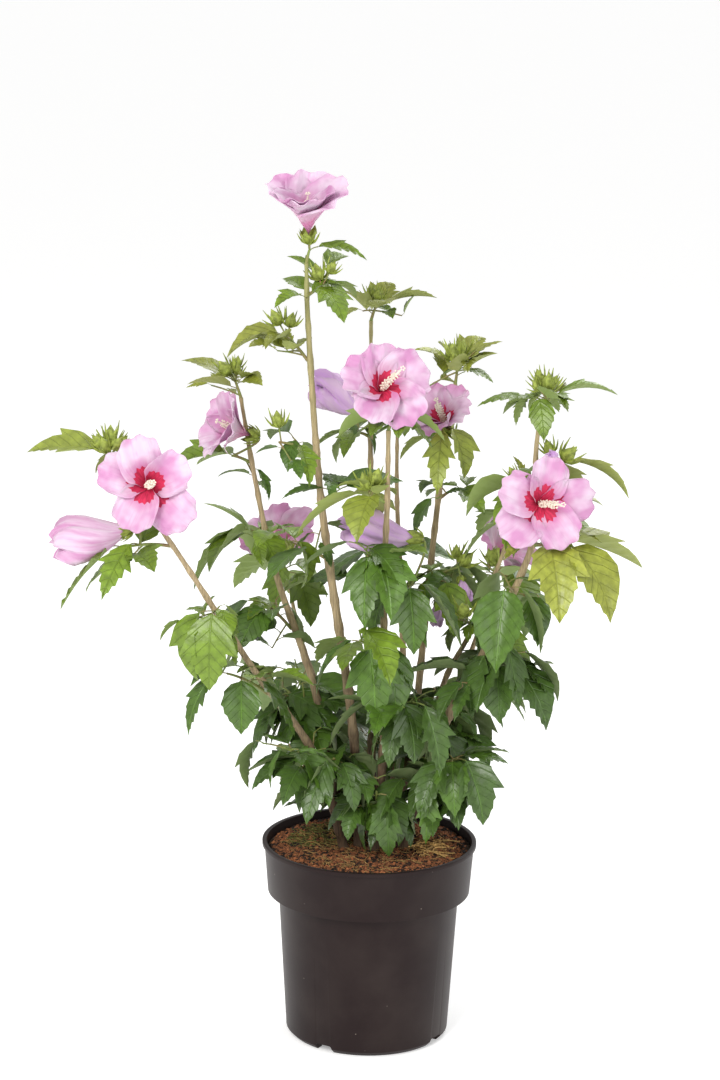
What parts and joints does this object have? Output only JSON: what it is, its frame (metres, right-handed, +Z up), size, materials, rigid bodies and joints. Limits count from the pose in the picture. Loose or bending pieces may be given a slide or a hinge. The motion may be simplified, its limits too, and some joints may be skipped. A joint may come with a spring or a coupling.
{
  "type": "hibiscus shrub",
  "caption": "Flowering hibiscus shrub in a round nursery pot: upright woody stems from the potting soil, lobed green leaves, open pink blooms with red eyes, and buds.",
  "frame": {"origin": "middle of the pot's underside, which stands on the ground", "axes": "+X is the shrub's right, -Y its front, +Z up"},
  "size_m": [0.6304, 0.3749, 0.919],
  "materials": {
    "pot": "dark charcoal polypropylene, semi-matte",
    "soil": "loose composted bark and coir fibre",
    "bark": "thin grey-tan bark with fine ridges",
    "foliage": "satin green leaves, with pink petals and pale green buds on the same sprays"
  },
  "bodies": {
    "root": {"pot": "pot", "soil": "soil", "tall_stem": "bark", "front_stem": "bark", "left_stem": "bark", "outer_left_stem": "bark", "right_stem": "bark", "outer_right_stem": "bark", "back_stem": "bark", "back_right_stem": "bark", "back_left_stem": "bark", "far_right_stem": "bark", "right_bough": "bark", "tall_tip_spray": "foliage", "tall_upper_right_spray": "foliage", "tall_upper_left_spray": "foliage", "tall_middle_left_spray": "foliage", "tall_middle_right_spray": "foliage", "tall_low_left_spray": "foliage", "tall_foot_spray": "foliage", "front_tip_spray": "foliage", "front_upper_spray": "foliage", "front_middle_left_spray": "foliage", "front_middle_right_spray": "foliage", "front_low_left_spray": "foliage", "front_low_right_spray": "foliage", "front_foot_spray": "foliage", "left_tip_spray": "foliage", "left_upper_spray": "foliage", "left_middle_spray": "foliage", "left_low_spray": "foliage", "left_foot_spray": "foliage", "outer_left_tip_spray": "foliage", "outer_left_under_spray": "foliage", "outer_left_middle_spray": "foliage", "outer_left_low_spray": "foliage", "outer_left_foot_spray": "foliage", "right_tip_spray": "foliage", "right_upper_spray": "foliage", "right_middle_spray": "foliage", "right_low_spray": "foliage", "right_foot_spray": "foliage", "outer_right_tip_spray": "foliage", "outer_right_upper_spray": "foliage", "outer_right_inner_spray": "foliage", "outer_right_under_spray": "foliage", "outer_right_middle_spray": "foliage", "outer_right_low_spray": "foliage", "outer_right_foot_spray": "foliage", "bough_tip_spray": "foliage", "bough_low_spray": "foliage", "back_tip_spray": "foliage", "back_upper_spray": "foliage", "back_middle_spray": "foliage", "back_foot_spray": "foliage", "back_right_tip_spray": "foliage", "back_left_tip_spray": "foliage", "back_left_low_spray": "foliage", "far_right_tip_spray": "foliage", "far_right_low_spray": "foliage"}
  },
  "joints": []
}
